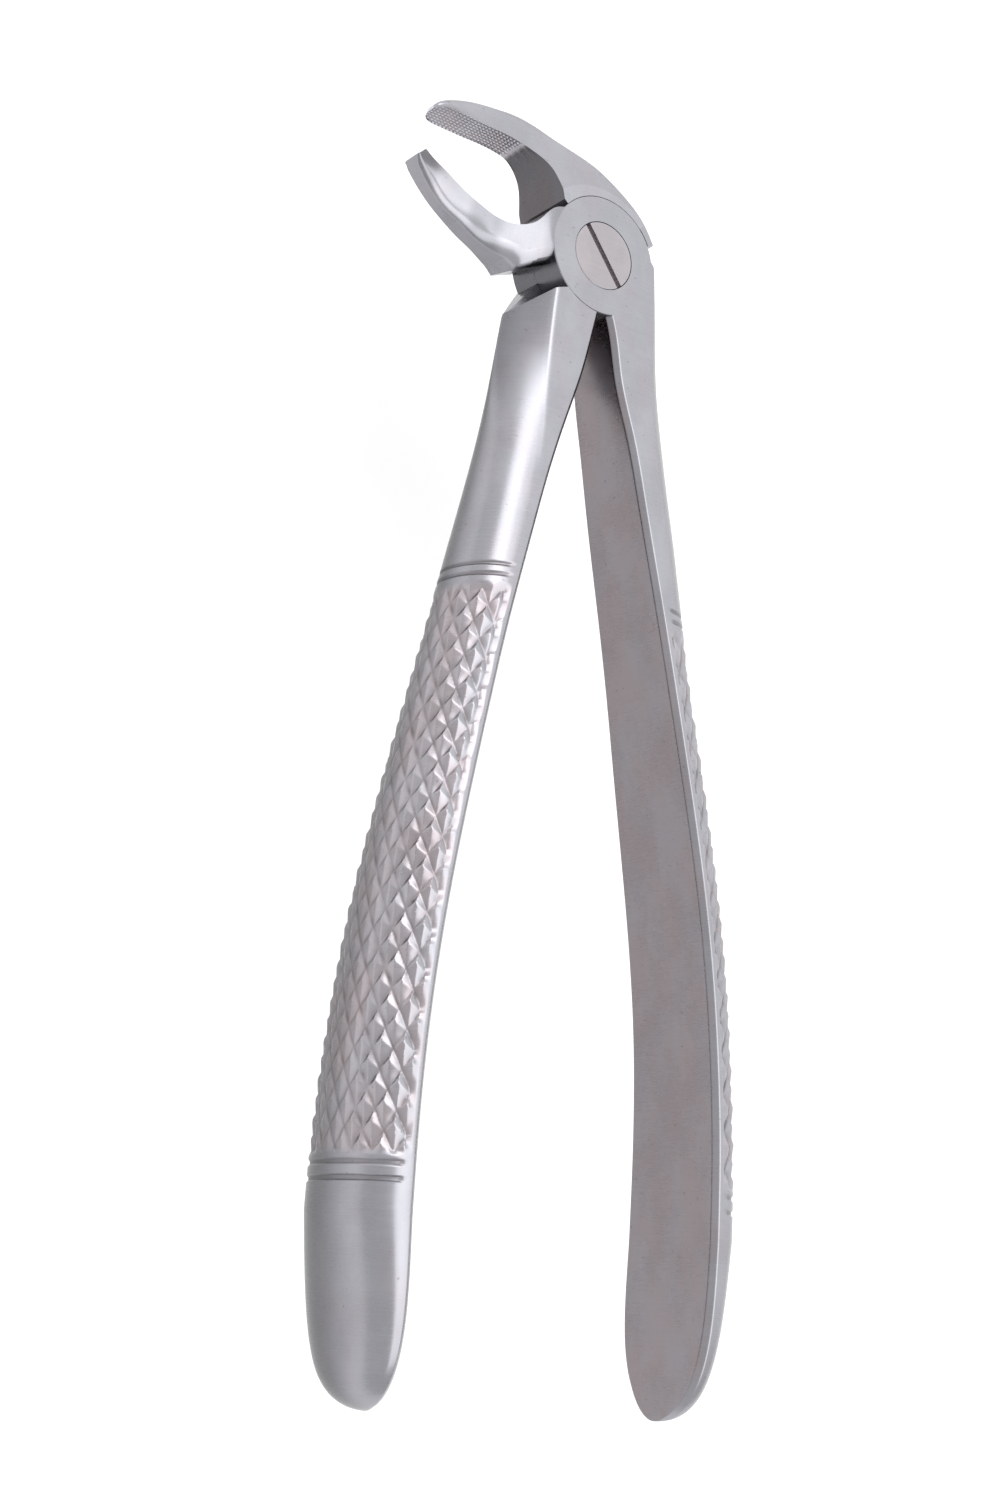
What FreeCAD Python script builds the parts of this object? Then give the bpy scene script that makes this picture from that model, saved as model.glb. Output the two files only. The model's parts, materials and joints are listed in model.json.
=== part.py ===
import FreeCAD, Part

import math
import os

from FreeCAD import Vector

# Extraction forceps for lower teeth: two forged halves crossing at a screw lap joint.
# Millimetres. The origin is on the hinge axis, at the flat back face of the joint.
# +Z runs along the hinge axis to the front face, +Y along the instrument to the beaks,
# and +X is the way the front half's handle opens. Both beaks curve towards -X.

# ---- driving dimensions ------------------------------------------------------------
JOINT_THICKNESS = 9.6
MID = JOINT_THICKNESS / 2
LAP_GAP = 0.04
DISC_RADIUS = 7.9
SHOULDER_RADIUS = 7.96
DISC_BACK_BREAK = 0.6
BIG = 60.0

HEAD_RADIUS = 4.45
HEAD_THICKNESS = 2.2
COUNTERBORE_RADIUS = 4.52
COUNTERBORE_DEPTH = HEAD_THICKNESS + 0.03
JOURNAL_RADIUS = 3.0
JOURNAL_BORE_RADIUS = 3.05
THREAD_RADIUS = 2.5
SLOT_WIDTH = 0.75
SLOT_DEPTH = 1.1
SLOT_ANGLE = -52.0

HANDLE_LENGTH = 142.4
HANDLE_END_START = 121.0
HANDLE_BEVEL = 0.7
# The bevel on the back side of the inner face widens down the handle.
BACK_BEVEL = 1.55
BACK_BEVEL_SPAN = (60.0, 100.0)
# The root's outer side meets the flat front at a crisp ridge, which fades out down the handle.
# The side starts there at a tilt, and is a Bezier arc drawn towards the corner where that slope
# meets the outermost line.
RIDGE_TILT = 42.0
RIDGE_SPAN = (9.0, 38.0)
LEAST_CORNER = 0.2
ARC_SHARE = 0.5523
LEAST_FLAT = 0.25

# Each handle station: distance below the hinge, then the offsets from the centre line of the
# inner face, of the front face's ridge and of the outermost line, then the half width along Z.
BACK_ROOT = [
    (2.0, -1.6, 6.2, 10.35, 4.77),
    (8.5, 0.05, 6.9, 11.4, 4.77),
    (16.0, 1.75, 7.35, 12.4, 4.90),
    (23.0, 4.20, 7.8, 13.0, 5.50),
    (31.0, 6.75, 8.5, 14.15, 5.95),
    (41.0, 9.30, 10.0, 16.2, 6.32),
]
FRONT_ROOT = [
    (-4.0, -3.0, 8.0, 9.45, 4.60),
    (2.0, -1.3, 8.3, 11.3, 4.68),
    (8.5, 1.55, 8.6, 12.2, 4.74),
    (16.0, 3.25, 8.9, 12.85, 4.90),
    (23.0, 5.10, 9.1, 13.5, 5.50),
    (31.0, 7.00, 9.3, 14.8, 5.95),
    (41.0, 9.40, 10.2, 16.7, 6.32),
]
GRIP = [
    (51.0, 11.75, 12.5, 18.3, 6.69),
    (63.0, 14.35, 15.05, 20.9, 7.23),
    (75.0, 16.77, 17.5, 23.3, 7.79),
    (87.0, 18.80, 19.5, 25.3, 8.19),
    (99.0, 20.20, 20.9, 26.65, 8.45),
    (111.0, 20.93, 21.65, 27.5, 8.70),
    (121.0, 21.08, 21.8, 27.66, 8.82),
]
# The end narrows along its length, and its width and depth close round the tip.
END_TAPER = 0.36
END_WIDTH_POWER = 3.6
END_DEPTH_POWER = 12
END_FRACTIONS = [0.22, 0.42, 0.60, 0.75, 0.86, 0.935, 0.975, 0.992]

# Each beak station: the point on the inner, gripping face and the point across the metal from it.
BACK_BEAK = [
    ((-24.40, 13.10), (-24.45, 13.60)),
    ((-23.90, 13.12), (-24.10, 14.05)),
    ((-23.10, 13.13), (-23.35, 14.60)),
    ((-21.90, 13.10), (-22.10, 15.15)),
    ((-20.00, 13.00), (-20.00, 15.83)),
    ((-17.50, 12.88), (-17.20, 16.37)),
    ((-15.20, 12.83), (-14.50, 16.65)),
    ((-13.20, 12.65), (-11.90, 16.65)),
    ((-11.60, 12.35), (-9.30, 16.15)),
    ((-10.20, 11.75), (-6.50, 15.36)),
    ((-8.95, 10.90), (-3.30, 14.10)),
    ((-7.95, 9.75), (-0.30, 12.70)),
    ((-7.25, 8.10), (2.70, 10.50)),
    ((-6.75, 6.50), (5.30, 8.30)),
    ((-6.35, 5.00), (7.20, 6.20)),
    ((-6.00, 3.60), (8.80, 3.60)),
]
FRONT_BEAK = [
    ((-26.05, 6.42), (-26.62, 6.02)),
    ((-25.45, 5.93), (-26.42, 5.18)),
    ((-24.40, 5.30), (-25.70, 4.05)),
    ((-22.65, 4.45), (-24.33, 2.47)),
    ((-20.60, 3.34), (-22.42, 0.75)),
    ((-18.60, 2.42), (-20.20, -0.60)),
    ((-16.60, 1.65), (-18.10, -1.70)),
    ((-14.90, 1.00), (-16.20, -2.55)),
    ((-13.50, 0.64), (-14.50, -3.20)),
    ((-12.20, 0.66), (-13.00, -3.80)),
    ((-11.00, 1.00), (-11.75, -4.60)),
    ((-9.90, 1.80), (-10.40, -4.40)),
    ((-8.90, 3.03), (-9.10, -3.85)),
    ((-7.80, 4.05), (-7.80, -3.30)),
    ((-6.30, 4.55), (-6.30, -2.65)),
]

BEAK_TIP_HALF_WIDTH = 2.24
BEAK_FLARE_SLOPE = 0.38
BEAK_FLARE_BLEND = 0.30
BACK_FLARE_END = 16.4
FRONT_FLARE_END = 15.5
BEAK_HOLLOW = 0.28
BEAK_CORNER = 1.1
# The front beak's outer corners round out further towards its neck.
NECK_CORNER = 1.2
NECK_SPAN = (13.0, 21.0)
TIP_ROUND_END = 24.6
TIP_ROUND_LENGTH = 2.9

# Angles about the hinge, anticlockwise from +X. The back beak's root stops at a radial face on
# each side of the front disc.
BACK_ROOT_RIGHT = 27.6
BACK_ROOT_LEFT = 139.0
BACK_ROOT_LEFT_REACH = 13.7

# Outlines in XY of what is cut from the roots: the back handle's top step in front of the lap,
# its web behind the lap, the front handle's crown, and the front beak's underside, which leans
# from its outline at the front face to its outline at the back face.
STEP_CUT = [(8, -5.9), (-5.0, -5.9), (-7.0, -6.6), (-11.2, -9.75), (-40, -31), (-40, 20), (8, 20)]
WEB_CUT = [(-3.0, 0.2), (-6.4, -4.0), (-11.2, -9.92), (-40, -45), (-40, 20), (-3, 20)]
CROWN_CUT = [(7.0, 2.25), (8.55, 0.75), (12.0, -1.2), (30, -1.2), (30, 20), (-20, 20), (-20, 2.25)]
UNDERSIDE_FRONT = [(0, 0), (-7.27, -3.33), (-9.0, -4.12), (-54.5, -25), (-60, -60), (0, -60)]
UNDERSIDE_BACK = [(0, 0.15), (-7.9, -1.85), (-9.6, -2.55), (-60, -2.7), (-60, -60), (0, -60)]


def soft_ramp(x, blend):
    """x where x is well above nought, nought where it is well below, rounded between."""
    return (x + math.sqrt(x * x + blend * blend)) / 2


def smooth_step(x):
    t = min(max(x, 0.0), 1.0)
    return t * t * (3 - 2 * t)


def point(x, y, z):
    return Vector(x, y, z + MID)


def spline(points):
    curve = Part.BSplineCurve()
    curve.interpolate(points)
    return curve.toShape()


def bezier(poles):
    curve = Part.BezierCurve()
    curve.setPoles(poles)
    return curve.toShape()


# ---- handles -----------------------------------------------------------------------
def end_stations():
    """The handle's rounded end, where the width and the depth close to nothing."""
    _, inner, _, outer, half = GRIP[-1]
    depth = outer - inner
    stations = []
    for q in END_FRACTIONS:
        width_left = math.sqrt(1 - q**END_WIDTH_POWER)
        depth_left = (1 - END_TAPER * q) * math.sqrt(1 - q**END_DEPTH_POWER)
        face = inner - 0.8 * q**1.2
        bevel = HANDLE_BEVEL * min(1.0, 1.6 * depth_left)
        station = (
            HANDLE_END_START + q * (HANDLE_LENGTH - HANDLE_END_START),
            face,
            face + bevel,
            face + depth * depth_left,
            half * width_left,
        )
        stations.append(station)
    return stations


def half_section(station, bevel):
    """Half a handle's section: the inner bevel's two corners, then the outer side's four poles."""
    distance, inner, ridge, outer, half = station
    bevel = min(bevel, 0.35 * (outer - inner), 0.3 * half)
    ridge = max(ridge, inner + bevel + min(LEAST_FLAT, 0.05 * (outer - inner)))
    fade = smooth_step((distance - RIDGE_SPAN[0]) / (RIDGE_SPAN[1] - RIDGE_SPAN[0]))
    tilt = math.radians(RIDGE_TILT * (1 - fade))
    depth = outer - ridge
    corner = max(half - depth * math.tan(tilt), LEAST_CORNER * half)
    side = [
        (ridge, half),
        (ridge + ARC_SHARE * depth, half + ARC_SHARE * (corner - half)),
        (outer, ARC_SHARE * corner),
        (outer, 0),
    ]
    return [(inner, half - bevel), (inner + bevel, half)] + side


def handle_section(side, station):
    """A D-shaped closed wire across the handle: flat inner face, bevels, flats, rounded outer side."""
    distance = station[0]
    widening = smooth_step((distance - BACK_BEVEL_SPAN[0]) / (BACK_BEVEL_SPAN[1] - BACK_BEVEL_SPAN[0]))
    back_bevel = HANDLE_BEVEL + (BACK_BEVEL - HANDLE_BEVEL) * widening
    front = [point(side * x, -distance, z) for x, z in half_section(station, HANDLE_BEVEL)]
    back = [point(side * x, -distance, -z) for x, z in half_section(station, back_bevel)]
    back.reverse()
    edges = [
        Part.makeLine(back[-1], front[0]),
        Part.makeLine(front[0], front[1]),
        Part.makeLine(front[1], front[2]),
        bezier(front[2:]),
        bezier(back[:-2]),
        Part.makeLine(back[-3], back[-2]),
        Part.makeLine(back[-2], back[-1]),
    ]
    return Part.Wire(edges)


def handle(side, root):
    wires = [handle_section(side, s) for s in root + GRIP + end_stations()]
    return Part.makeLoft(wires, True, False)


# ---- beaks -------------------------------------------------------------------------
def beak_half_width(radius, flare_end):
    """Half the beak's width along Z at a distance from the hinge: it narrows from the joint to the tip."""
    flare = soft_ramp(BEAK_FLARE_SLOPE * (flare_end - radius), BEAK_FLARE_BLEND)
    return BEAK_TIP_HALF_WIDTH + flare + 0.16 * smooth_step((radius - 20) / 6)


def beak_section(inner, outer, flare_end, tip_share, neck_corner):
    """A closed wire across the beak: flat inner face, hollow sides, narrower outer face."""
    start = Vector(*inner, 0)
    across = Vector(*outer, 0) - start
    depth = across.Length
    across.normalize()
    reach = (start + across * depth).Length
    narrowing = 0.40 + 0.65 * smooth_step((reach - 18) / 5)
    neck = smooth_step((NECK_SPAN[1] - reach) / (NECK_SPAN[1] - NECK_SPAN[0]))
    corner = min(BEAK_CORNER + neck_corner * neck, 0.45 * depth)

    def half_width(x):
        radius = (start + across * x).Length
        share = x / depth
        hollow = BEAK_HOLLOW * math.sin(math.pi * min(share, 1)) * smooth_step((reach - 13) / 5)
        return (beak_half_width(radius, flare_end) - narrowing * share - hollow) * tip_share

    def at(x, z):
        place = start + across * x
        return point(place.x, place.y, z)

    sides = 9
    straight = depth - corner
    front = [at(straight * k / sides, half_width(straight * k / sides)) for k in range(sides)]
    edge = half_width(straight)
    drop = min(corner, 0.45 * edge)
    for k in range(5):
        angle = math.pi / 2 * k / 4
        front.append(at(straight + corner * math.sin(angle), edge - drop * (1 - math.cos(angle))))
    back = [Vector(p.x, p.y, 2 * MID - p.z) for p in reversed(front)]
    edges = [
        Part.makeLine(back[-1], front[0]),
        spline(front),
        Part.makeLine(front[-1], back[0]),
        spline(back),
    ]
    return Part.Wire(edges)


def tip_share(inner, rounded):
    """Share of the full width left at a station; the back half's tip is rounded like a tongue."""
    if not rounded:
        return 1.0
    past = max(0.0, -inner[0] - (TIP_ROUND_END - TIP_ROUND_LENGTH)) / TIP_ROUND_LENGTH
    return math.sqrt(max(1 - past**3, 0.04))


def beak(stations, flare_end, rounded, neck_corner):
    wires = []
    for inner, outer in stations:
        wires.append(beak_section(inner, outer, flare_end, tip_share(inner, rounded), neck_corner))
    body = Part.makeLoft(wires, True, False)
    return body.common(slab(0, JOINT_THICKNESS))


# ---- joint -------------------------------------------------------------------------
def slab(low, high):
    return Part.makeBox(2 * BIG, 5 * BIG, high - low, Vector(-BIG, -3.5 * BIG, low))


def round_bar(radius, low, high):
    return Part.makeCylinder(radius, high - low, Vector(0, 0, low))


def prism(outline, low, high):
    """A flat-sided block over a closed outline in XY."""
    points = [Vector(x, y, low) for x, y in outline]
    wire = Part.makePolygon(points + points[:1])
    return Part.Face(wire).extrude(Vector(0, 0, high - low))


def radial(angle, radius):
    return (radius * math.cos(math.radians(angle)), radius * math.sin(math.radians(angle)))


def turned(profile):
    """A solid turned about the hinge axis from (radius, height) points."""
    points = [Vector(radius, 0, height) for radius, height in profile]
    wire = Part.makePolygon(points + points[:1])
    return Part.Face(wire).revolve(Vector(0, 0, 0), Vector(0, 0, 1), 360)


def leaning_block():
    """Everything below the front beak's underside, which leans between its two outlines."""
    wires = []
    for outline, z in ((UNDERSIDE_BACK, 0.0), (UNDERSIDE_FRONT, JOINT_THICKNESS)):
        points = [Vector(x, y, z) for x, y in outline]
        wires.append(Part.makePolygon(points + points[:1]))
    return Part.makeLoft(wires, True, True)


def back_half():
    """Back disc, upper beak and left handle in one forging."""
    high = MID - LAP_GAP / 2
    rim = [(0, 0), (DISC_RADIUS - DISC_BACK_BREAK, 0), (DISC_RADIUS, DISC_BACK_BREAK)]
    disc = turned(rim + [(DISC_RADIUS, high), (0, high)])
    pocket = round_bar(SHOULDER_RADIUS, high, JOINT_THICKNESS + 1)
    left_end = radial(BACK_ROOT_LEFT, BACK_ROOT_LEFT_REACH)
    right_far = radial(BACK_ROOT_RIGHT, BIG)
    outline = [(0, 0), right_far, (0, 2 * BIG), (-BIG, BIG), (-BIG, left_end[1]), left_end]
    sector = prism(outline, -1, JOINT_THICKNESS + 1)
    upper = beak(BACK_BEAK, BACK_FLARE_END, True, 0.0).common(sector).cut(pocket)
    grip = handle(-1, BACK_ROOT)
    grip = grip.cut(prism(STEP_CUT, high, 40)).cut(prism(WEB_CUT, -40, high)).cut(pocket)
    body = grip.fuse(disc).fuse(upper)
    return body.cut(round_bar(THREAD_RADIUS, -1, high + 1)).removeSplitter()


def front_half():
    """Front disc, lower beak and right handle in one forging."""
    low, high = MID + LAP_GAP / 2, JOINT_THICKNESS
    disc = round_bar(DISC_RADIUS, low, high)
    pocket = round_bar(SHOULDER_RADIUS, -1, low)
    lower = beak(FRONT_BEAK, FRONT_FLARE_END, False, NECK_CORNER).cut(pocket).cut(leaning_block())
    grip = handle(1, FRONT_ROOT).cut(prism(CROWN_CUT, -40, 40)).cut(pocket)
    body = grip.fuse(disc).fuse(lower)
    bore = round_bar(JOURNAL_BORE_RADIUS, low - 1, high + 1)
    counterbore = round_bar(COUNTERBORE_RADIUS, high - COUNTERBORE_DEPTH, high + 1)
    return body.cut(bore.fuse(counterbore)).removeSplitter()


def joint_screw():
    """Slotted flush head, plain journal for the front half and a shank held in the back half."""
    shoulder = MID - LAP_GAP / 2
    top = JOINT_THICKNESS
    head = round_bar(HEAD_RADIUS, top - HEAD_THICKNESS, top)
    journal = round_bar(JOURNAL_RADIUS, shoulder, top - HEAD_THICKNESS)
    shank = round_bar(THREAD_RADIUS, 0, shoulder)
    slot = Part.makeBox(4 * HEAD_RADIUS, SLOT_WIDTH, SLOT_DEPTH + 1)
    slot.translate(Vector(-2 * HEAD_RADIUS, -SLOT_WIDTH / 2, top - SLOT_DEPTH))
    slot.rotate(Vector(0, 0, 0), Vector(0, 0, 1), SLOT_ANGLE)
    return head.fuse([journal, shank]).cut(slot).removeSplitter()


NODES = {"back_half": back_half, "front_half": front_half, "joint_screw": joint_screw}

os.makedirs("parts", exist_ok=True)
for name, make in NODES.items():
    shape = make()
    print(name, "solids", len(shape.Solids), "valid", shape.isValid(), "volume", round(shape.Volume, 1))
    shape.exportStep("parts/" + name + ".step")
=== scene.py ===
"""Looks of the extraction forceps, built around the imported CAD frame.

The shapes are worked out in millimetres about the hinge's middle point, with X across the
instrument, Y towards the beaks and Z along the hinge axis, and turned into metres in the row
frame when a mesh is made. Side +1 is the front half's handle and side -1 the back half's.
"""

import json
import math

import bmesh
import bpy
import numpy as np
from mathutils import Matrix, Vector


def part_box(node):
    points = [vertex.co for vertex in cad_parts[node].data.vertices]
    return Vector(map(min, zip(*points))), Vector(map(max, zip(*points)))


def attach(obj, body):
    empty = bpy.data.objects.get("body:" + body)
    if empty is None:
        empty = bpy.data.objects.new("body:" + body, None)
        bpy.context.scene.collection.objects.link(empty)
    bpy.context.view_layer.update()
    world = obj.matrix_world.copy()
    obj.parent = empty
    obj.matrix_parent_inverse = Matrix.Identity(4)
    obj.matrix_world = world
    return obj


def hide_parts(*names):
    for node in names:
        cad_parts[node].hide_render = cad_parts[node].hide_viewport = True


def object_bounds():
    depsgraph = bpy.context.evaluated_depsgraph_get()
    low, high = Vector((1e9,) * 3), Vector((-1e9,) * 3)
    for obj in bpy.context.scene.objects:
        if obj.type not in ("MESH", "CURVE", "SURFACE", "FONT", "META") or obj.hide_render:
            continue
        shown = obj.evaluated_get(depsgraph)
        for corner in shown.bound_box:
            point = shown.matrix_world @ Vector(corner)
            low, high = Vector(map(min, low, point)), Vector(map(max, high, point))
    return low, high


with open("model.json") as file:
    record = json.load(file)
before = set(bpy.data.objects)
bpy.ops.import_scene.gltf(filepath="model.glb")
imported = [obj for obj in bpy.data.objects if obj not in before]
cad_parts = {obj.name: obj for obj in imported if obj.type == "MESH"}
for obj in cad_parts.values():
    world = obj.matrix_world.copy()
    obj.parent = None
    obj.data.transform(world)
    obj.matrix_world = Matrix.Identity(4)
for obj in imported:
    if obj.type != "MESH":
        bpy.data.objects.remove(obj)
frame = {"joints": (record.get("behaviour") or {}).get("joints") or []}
cad_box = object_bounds()

# ---- the joint, from the frame -------------------------------------------------------
MM = 0.001
HINGE = Vector(frame["joints"][0]["pos_m"])
SCREW_LOW, SCREW_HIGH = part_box("joint_screw")
HALF_JOINT = (SCREW_HIGH.z - SCREW_LOW.z) / 2 / MM
HANDLE_LENGTH = (HINGE.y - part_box("back_half")[0].y) / MM

LAP = 0.02
DISC_RADIUS = 7.9
DISC_BACK_BREAK = 0.6
DISC_LAP_BREAK = 0.02
DISC_FRONT_BREAK = 0.10
SHOULDER_RADIUS = 7.92
HEAD_RADIUS = 4.45
HEAD_THICKNESS = 2.2
HEAD_BREAK = 0.05
COUNTERBORE_RADIUS = 4.52
COUNTERBORE_DEPTH = HEAD_THICKNESS + 0.03
JOURNAL_RADIUS = 3.0
JOURNAL_BORE_RADIUS = 3.05
THREAD_RADIUS = 2.5
SLOT_WIDTH = 0.75
SLOT_DEPTH = 1.1
SLOT_ANGLE = -52.0
# A ring ground slightly into the back half's root round the disc, with a soft outer edge.
SPOTFACE_RADIUS = 10.3
SPOTFACE_EDGE = 0.6
SPOTFACE_DEPTH = 0.05
SPOTFACE_RIGHT = 45.0
# How far a cutting tool reaches past what it cuts, sideways and along the hinge axis.
BIG = 60.0
TALL = 40.0
LATHE_SEGMENTS = 256
DETAIL = 1.0

# ---- handles ---------------------------------------------------------------------------
# Distance below the hinge, then the offsets from the centre line of the inner face, of the
# front face's ridge and of the outermost line, then the half width along Z.
BACK_ROOT = [
    (2.0, -1.6, 6.2, 10.35, 4.80),
    (8.5, 0.05, 6.9, 11.4, 4.80),
    (16.0, 1.75, 7.35, 12.4, 4.90),
    (23.0, 4.20, 7.8, 13.0, 5.50),
    (31.0, 6.75, 8.5, 14.15, 5.95),
    (41.0, 9.30, 10.0, 16.2, 6.32),
]
FRONT_ROOT = [
    (-4.0, -3.0, 8.0, 9.45, 4.80),
    (2.0, -1.3, 8.3, 11.3, 4.80),
    (8.5, 1.55, 8.6, 12.2, 4.80),
    (16.0, 3.25, 8.9, 12.85, 4.90),
    (23.0, 5.10, 9.1, 13.5, 5.50),
    (31.0, 7.00, 9.3, 14.8, 5.95),
    (41.0, 9.40, 10.2, 16.7, 6.32),
]
GRIP = [
    (51.0, 11.75, 12.5, 18.3, 6.69),
    (63.0, 14.35, 15.05, 20.9, 7.23),
    (75.0, 16.77, 17.5, 23.3, 7.79),
    (87.0, 18.80, 19.5, 25.3, 8.19),
    (99.0, 20.20, 20.9, 26.65, 8.45),
    (111.0, 20.93, 21.65, 27.5, 8.70),
    (121.0, 21.08, 21.8, 27.66, 8.82),
]
# The root is no thicker than the joint down to here.
LEVEL_ROOT_END = 8.5
END_START = GRIP[-1][0]
# The end narrows along its length, its inner face leans in, and its width and depth close
# round the tip over rings that crowd together there.
END_RINGS = 60
END_LAST_RING = 0.004
END_TAPER = 0.36
END_LEAN = 0.8
END_LEAN_POWER = 1.2
END_WIDTH_POWER = 3.6
END_DEPTH_POWER = 12
END_BEVEL_SHARE = 1.6
# The edges of the inner face are bevelled, the back one more towards the handle's end.
BEVEL = 0.7
BACK_BEVEL = 1.55
BACK_BEVEL_SPAN = (60.0, 100.0)
LEAST_FLAT = 0.25
EDGE_ROUND = 0.16
RIDGE_ROUND = 0.45
# The root's outer side meets the flat front at a crisp ridge, which fades out down the handle.
RIDGE_TILT = 42.0
LEAST_CORNER = 0.2
ARC_SHARE = 0.5523
RIDGE_FADE = (9.0, 38.0)
# Start, end and spacing of a handle's rings, close together where it is carved.
ROW_SPANS = [
    (-4.0, 8.0, 0.6),
    (8.0, 24.0, 0.3),
    (24.0, 44.0, 0.6),
    (44.0, 48.2, 0.10 / DETAIL),
    (48.2, 115.4, 0.15 / DETAIL),
    (115.4, 119.6, 0.10 / DETAIL),
    (119.6, END_START, 0.5),
]
# Points round half a section, from the middle of the inner face to that of the outer side; the
# ridge's rounding takes the place of the outer side's first few.
INNER_COLUMNS = 16
EDGE_POINTS = 5
BEVEL_COLUMNS = 2
FRONT_COLUMNS = 8
CREST_POINTS = 7
CREST_REACH = 7
SIDE_COLUMNS = round(84 * DETAIL)
CREST_INDEX = INNER_COLUMNS + 2 * EDGE_POINTS + BEVEL_COLUMNS + FRONT_COLUMNS + CREST_POINTS // 2

# ---- ring grooves and diamond knurl --------------------------------------------------------
# Distances below the hinge and half widths of the grooves turned round the outer side.
RING_GROOVES = [(44.7, 0.32), (46.05, 0.32), (115.95, 0.40), (117.7, 0.40)]
RING_DEPTH = 0.2
RING_WALL = 0.22
# Grime and painted shade at the bottom of a ring groove.
RING_GRIME_AND_SHADE = 0.5
KNURL_START = 47.0
KNURL_END = 115.3
KNURL_DEPTH = 0.45
# Grime and painted shade in the knurl's grooves; the power keeps them to the groove bottoms.
KNURL_GRIME_AND_SHADE = 0.9
KNURL_GRIME_AND_SHADE_POWER = 5
# The knurl is shallower in the middle of the outer side, from this far round from the ridges.
KNURL_FLATTENING = 0.75
KNURL_FLAT_START = 5.0
# The knurl starts and stops softly near the hinge, near the end and along the two ridges.
KNURL_FADE_IN = 1.4
KNURL_FADE_OUT = 0.8
KNURL_EDGE = 0.1
KNURL_EDGE_FADE = 0.9
RING_EDGE = 0.5
# Each family of knurl grooves: slope along the handle for a step round it, pitch along the
# handle, a place where a groove meets the front ridge, the shares of the pitch that the walls
# on the hinge's side and on the far side of a groove take up, and its share of the full depth.
KNURL_FAMILIES = [(1.6, 4.35, 50.4, 0.66, 0.20, 0.95), (-1.8, 4.6, 77.6, 0.60, 0.36, 1.0)]

# ---- beaks -------------------------------------------------------------------------------
# The point on the inner, gripping face and the point across the metal from it.
BACK_BEAK = [
    ((-24.40, 13.10), (-24.45, 13.60)),
    ((-23.90, 13.12), (-24.10, 14.05)),
    ((-23.10, 13.13), (-23.35, 14.60)),
    ((-21.90, 13.10), (-22.10, 15.15)),
    ((-20.00, 13.00), (-20.00, 15.83)),
    ((-17.50, 12.88), (-17.20, 16.37)),
    ((-15.20, 12.83), (-14.50, 16.63)),
    ((-13.20, 12.65), (-11.90, 16.63)),
    ((-11.60, 12.35), (-9.30, 16.15)),
    ((-10.20, 11.75), (-6.50, 15.36)),
    ((-8.95, 10.90), (-3.30, 14.10)),
    ((-7.95, 9.75), (-0.30, 12.70)),
    ((-7.25, 8.10), (2.70, 10.50)),
    ((-6.75, 6.50), (5.30, 8.30)),
    ((-6.35, 5.00), (7.20, 6.20)),
    ((-6.00, 3.60), (8.80, 3.60)),
]
FRONT_BEAK = [
    ((-26.05, 6.42), (-26.62, 6.02)),
    ((-25.45, 5.93), (-26.42, 5.18)),
    ((-24.40, 5.30), (-25.70, 4.05)),
    ((-22.65, 4.45), (-24.33, 2.47)),
    ((-20.60, 3.34), (-22.42, 0.75)),
    ((-18.60, 2.42), (-20.20, -0.60)),
    ((-16.60, 1.65), (-18.10, -1.70)),
    ((-14.90, 1.00), (-16.20, -2.55)),
    ((-13.50, 0.64), (-14.50, -3.20)),
    ((-12.20, 0.66), (-13.00, -3.80)),
    ((-11.00, 1.00), (-11.75, -4.60)),
    ((-9.90, 1.80), (-10.40, -4.40)),
    ((-8.90, 3.03), (-9.10, -3.85)),
    ((-7.80, 4.05), (-7.80, -3.30)),
    ((-6.30, 4.55), (-6.30, -2.65)),
]
# Half the width of a beak's inner face at the tip, and how it flares towards the joint and
# swells a little at the tip again, by distance from the hinge axis.
TIP_HALF_WIDTH = 2.24
FLARE_SLOPE = 0.38
FLARE_BLEND = 0.30
BACK_FLARE_END = 16.4
FRONT_FLARE_END = 15.5
TIP_SWELL = 0.16
TIP_SWELL_SPAN = (20, 26)
# A beak narrows from its inner face to its outer side, more so past the neck.
NARROWING = 0.40
TIP_NARROWING = 0.65
NARROWING_SPAN = (18, 23)
BEAK_HOLLOW = 0.28
HOLLOW_SPAN = (13, 18)
BEAK_CORNER = 1.1
# The front beak's outer corners round out further towards its neck.
NECK_CORNER = 1.2
NECK_SPAN = (13.0, 21.0)
CREASE = 0.15
# Spacing of a beak's rings along the serrated part and past it, and points round half of one.
FINE_ROWS_END = 17
FINE_STEP = 0.09 / DETAIL
PLAIN_STEP = 0.2
BEAK_SIDE_COLUMNS = round(90 * DETAIL)
BEAK_INNER_COLUMNS = round(44 * DETAIL)
BEAK_CORNER_POINTS = 17
BEAK_OUTER_COLUMNS = 8

# The gripping faces carry rows of small pyramids from the tip, then flutes that fade out.
TOOTH_PITCH = 0.55
TOOTH_DEPTH = 0.17
TOOTH_END = 13.2
TOOTH_FADE = 1.2
FLUTE_PITCH = 1.3
FLUTE_DEPTH = 0.14
FLUTE_END = 16.6
# The upper beak's tip rounds off over this length, but keeps a small width at its very end.
TIP_ROUND_END = 24.6
TIP_ROUND_LENGTH = 2.9
TIP_LEAST_SHARE = 0.04
# Directions from the hinge axis of the edges where the upper beak's root ends on the disc.
BACK_ROOT_RIGHT = 27.6
BACK_ROOT_LEFT = 139.0
BACK_ROOT_LEFT_REACH = 13.7

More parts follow.
